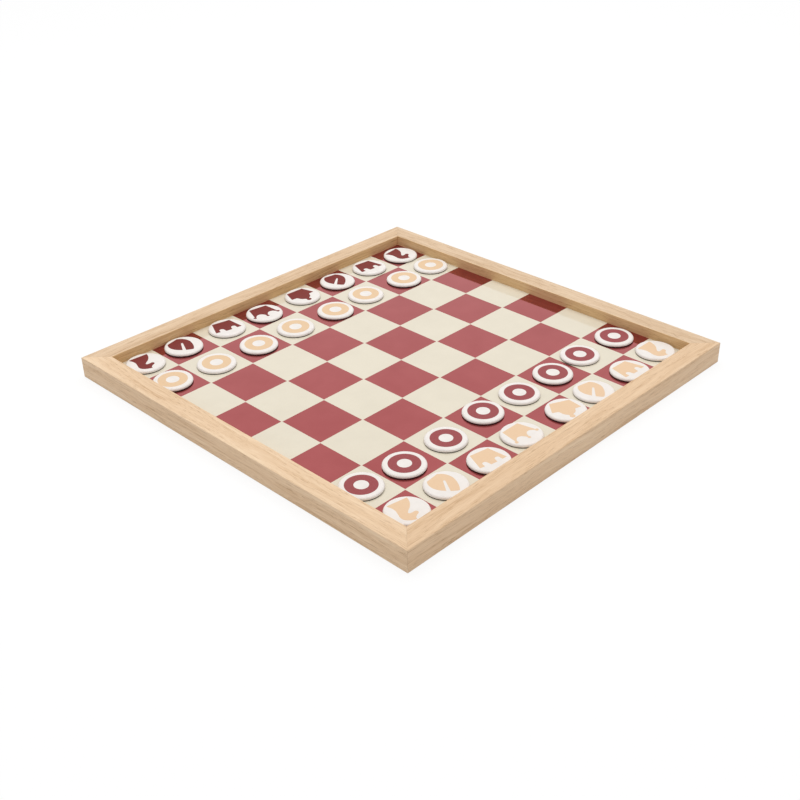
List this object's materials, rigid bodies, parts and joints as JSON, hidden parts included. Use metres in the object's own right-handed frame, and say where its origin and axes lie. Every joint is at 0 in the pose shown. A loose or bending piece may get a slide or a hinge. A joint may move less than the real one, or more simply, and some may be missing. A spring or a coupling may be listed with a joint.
{
  "type": "wall chessboard",
  "caption": "Shallow square oak frame round a glossy enamelled steel chessboard, hung by keyhole plates, with flat round magnetic men printed with chess signs.",
  "frame": {"origin": "middle of the back of the frame, on the wall side", "axes": "+Z out of the board face, +Y towards the top rail as it hangs, +X to the right seen from the front"},
  "size_m": [0.4, 0.4, 0.0198],
  "materials": {
    "oak": "oiled",
    "cream_enamel": "gloss",
    "dark_enamel": "gloss",
    "sheet_steel": "satin",
    "zinc_steel": "satin",
    "fibreboard": "matt",
    "burgundy_men": "gloss",
    "peach_men": "gloss"
  },
  "bodies": {
    "board": {"rail_bottom": "oak", "rail_right": "oak", "rail_top": "oak", "rail_left": "oak", "corner_v_nails": "zinc_steel", "steel_sheet": "sheet_steel", "cream_enamel": "cream_enamel", "dark_squares": "dark_enamel", "backing_board": "fibreboard", "retaining_points": "zinc_steel", "hanger_left": "zinc_steel", "hanger_right": "zinc_steel", "hanger_screws": "zinc_steel"},
    "burgundy_knight_left": {"burgundy_knight_left": "burgundy_men"},
    "burgundy_rook_left": {"burgundy_rook_left": "burgundy_men"},
    "burgundy_bishop_left": {"burgundy_bishop_left": "burgundy_men"},
    "burgundy_king": {"burgundy_king": "burgundy_men"},
    "burgundy_queen": {"burgundy_queen": "burgundy_men"},
    "burgundy_rook_right": {"burgundy_rook_right": "burgundy_men"},
    "burgundy_bishop_right": {"burgundy_bishop_right": "burgundy_men"},
    "burgundy_knight_right": {"burgundy_knight_right": "burgundy_men"},
    "peach_pawn_1": {"peach_pawn_1": "peach_men"},
    "peach_pawn_2": {"peach_pawn_2": "peach_men"},
    "peach_pawn_3": {"peach_pawn_3": "peach_men"},
    "peach_pawn_4": {"peach_pawn_4": "peach_men"},
    "peach_pawn_5": {"peach_pawn_5": "peach_men"},
    "peach_pawn_6": {"peach_pawn_6": "peach_men"},
    "peach_pawn_7": {"peach_pawn_7": "peach_men"},
    "peach_pawn_8": {"peach_pawn_8": "peach_men"},
    "burgundy_pawn_1": {"burgundy_pawn_1": "burgundy_men"},
    "burgundy_pawn_2": {"burgundy_pawn_2": "burgundy_men"},
    "burgundy_pawn_3": {"burgundy_pawn_3": "burgundy_men"},
    "burgundy_pawn_4": {"burgundy_pawn_4": "burgundy_men"},
    "burgundy_pawn_5": {"burgundy_pawn_5": "burgundy_men"},
    "burgundy_pawn_6": {"burgundy_pawn_6": "burgundy_men"},
    "burgundy_pawn_7": {"burgundy_pawn_7": "burgundy_men"},
    "burgundy_pawn_8": {"burgundy_pawn_8": "burgundy_men"},
    "peach_knight_left": {"peach_knight_left": "peach_men"},
    "peach_rook_left": {"peach_rook_left": "peach_men"},
    "peach_bishop_left": {"peach_bishop_left": "peach_men"},
    "peach_king": {"peach_king": "peach_men"},
    "peach_queen": {"peach_queen": "peach_men"},
    "peach_rook_right": {"peach_rook_right": "peach_men"},
    "peach_bishop_right": {"peach_bishop_right": "peach_men"},
    "peach_knight_right": {"peach_knight_right": "peach_men"}
  },
  "joints": [
    {"name": "lift_burgundy_knight_left", "type": "slide", "parent": "board", "child": "burgundy_knight_left", "axis": [0, 0, 1], "range_m": [0, 0.03]},
    {"name": "lift_burgundy_rook_left", "type": "slide", "parent": "board", "child": "burgundy_rook_left", "axis": [0, 0, 1], "range_m": [0, 0.03]},
    {"name": "lift_burgundy_bishop_left", "type": "slide", "parent": "board", "child": "burgundy_bishop_left", "axis": [0, 0, 1], "range_m": [0, 0.03]},
    {"name": "lift_burgundy_king", "type": "slide", "parent": "board", "child": "burgundy_king", "axis": [0, 0, 1], "range_m": [0, 0.03]},
    {"name": "lift_burgundy_queen", "type": "slide", "parent": "board", "child": "burgundy_queen", "axis": [0, 0, 1], "range_m": [0, 0.03]},
    {"name": "lift_burgundy_rook_right", "type": "slide", "parent": "board", "child": "burgundy_rook_right", "axis": [0, 0, 1], "range_m": [0, 0.03]},
    {"name": "lift_burgundy_bishop_right", "type": "slide", "parent": "board", "child": "burgundy_bishop_right", "axis": [0, 0, 1], "range_m": [0, 0.03]},
    {"name": "lift_burgundy_knight_right", "type": "slide", "parent": "board", "child": "burgundy_knight_right", "axis": [0, 0, 1], "range_m": [0, 0.03]},
    {"name": "lift_peach_pawn_1", "type": "slide", "parent": "board", "child": "peach_pawn_1", "axis": [0, 0, 1], "range_m": [0, 0.03]},
    {"name": "lift_peach_pawn_2", "type": "slide", "parent": "board", "child": "peach_pawn_2", "axis": [0, 0, 1], "range_m": [0, 0.03]},
    {"name": "lift_peach_pawn_3", "type": "slide", "parent": "board", "child": "peach_pawn_3", "axis": [0, 0, 1], "range_m": [0, 0.03]},
    {"name": "lift_peach_pawn_4", "type": "slide", "parent": "board", "child": "peach_pawn_4", "axis": [0, 0, 1], "range_m": [0, 0.03]},
    {"name": "lift_peach_pawn_5", "type": "slide", "parent": "board", "child": "peach_pawn_5", "axis": [0, 0, 1], "range_m": [0, 0.03]},
    {"name": "lift_peach_pawn_6", "type": "slide", "parent": "board", "child": "peach_pawn_6", "axis": [0, 0, 1], "range_m": [0, 0.03]},
    {"name": "lift_peach_pawn_7", "type": "slide", "parent": "board", "child": "peach_pawn_7", "axis": [0, 0, 1], "range_m": [0, 0.03]},
    {"name": "lift_peach_pawn_8", "type": "slide", "parent": "board", "child": "peach_pawn_8", "axis": [0, 0, 1], "range_m": [0, 0.03]},
    {"name": "lift_burgundy_pawn_1", "type": "slide", "parent": "board", "child": "burgundy_pawn_1", "axis": [0, 0, 1], "range_m": [0, 0.03]},
    {"name": "lift_burgundy_pawn_2", "type": "slide", "parent": "board", "child": "burgundy_pawn_2", "axis": [0, 0, 1], "range_m": [0, 0.03]},
    {"name": "lift_burgundy_pawn_3", "type": "slide", "parent": "board", "child": "burgundy_pawn_3", "axis": [0, 0, 1], "range_m": [0, 0.03]},
    {"name": "lift_burgundy_pawn_4", "type": "slide", "parent": "board", "child": "burgundy_pawn_4", "axis": [0, 0, 1], "range_m": [0, 0.03]},
    {"name": "lift_burgundy_pawn_5", "type": "slide", "parent": "board", "child": "burgundy_pawn_5", "axis": [0, 0, 1], "range_m": [0, 0.03]},
    {"name": "lift_burgundy_pawn_6", "type": "slide", "parent": "board", "child": "burgundy_pawn_6", "axis": [0, 0, 1], "range_m": [0, 0.03]},
    {"name": "lift_burgundy_pawn_7", "type": "slide", "parent": "board", "child": "burgundy_pawn_7", "axis": [0, 0, 1], "range_m": [0, 0.03]},
    {"name": "lift_burgundy_pawn_8", "type": "slide", "parent": "board", "child": "burgundy_pawn_8", "axis": [0, 0, 1], "range_m": [0, 0.03]},
    {"name": "lift_peach_knight_left", "type": "slide", "parent": "board", "child": "peach_knight_left", "axis": [0, 0, 1], "range_m": [0, 0.03]},
    {"name": "lift_peach_rook_left", "type": "slide", "parent": "board", "child": "peach_rook_left", "axis": [0, 0, 1], "range_m": [0, 0.03]},
    {"name": "lift_peach_bishop_left", "type": "slide", "parent": "board", "child": "peach_bishop_left", "axis": [0, 0, 1], "range_m": [0, 0.03]},
    {"name": "lift_peach_king", "type": "slide", "parent": "board", "child": "peach_king", "axis": [0, 0, 1], "range_m": [0, 0.03]},
    {"name": "lift_peach_queen", "type": "slide", "parent": "board", "child": "peach_queen", "axis": [0, 0, 1], "range_m": [0, 0.03]},
    {"name": "lift_peach_rook_right", "type": "slide", "parent": "board", "child": "peach_rook_right", "axis": [0, 0, 1], "range_m": [0, 0.03]},
    {"name": "lift_peach_bishop_right", "type": "slide", "parent": "board", "child": "peach_bishop_right", "axis": [0, 0, 1], "range_m": [0, 0.03]},
    {"name": "lift_peach_knight_right", "type": "slide", "parent": "board", "child": "peach_knight_right", "axis": [0, 0, 1], "range_m": [0, 0.03]}
  ]
}
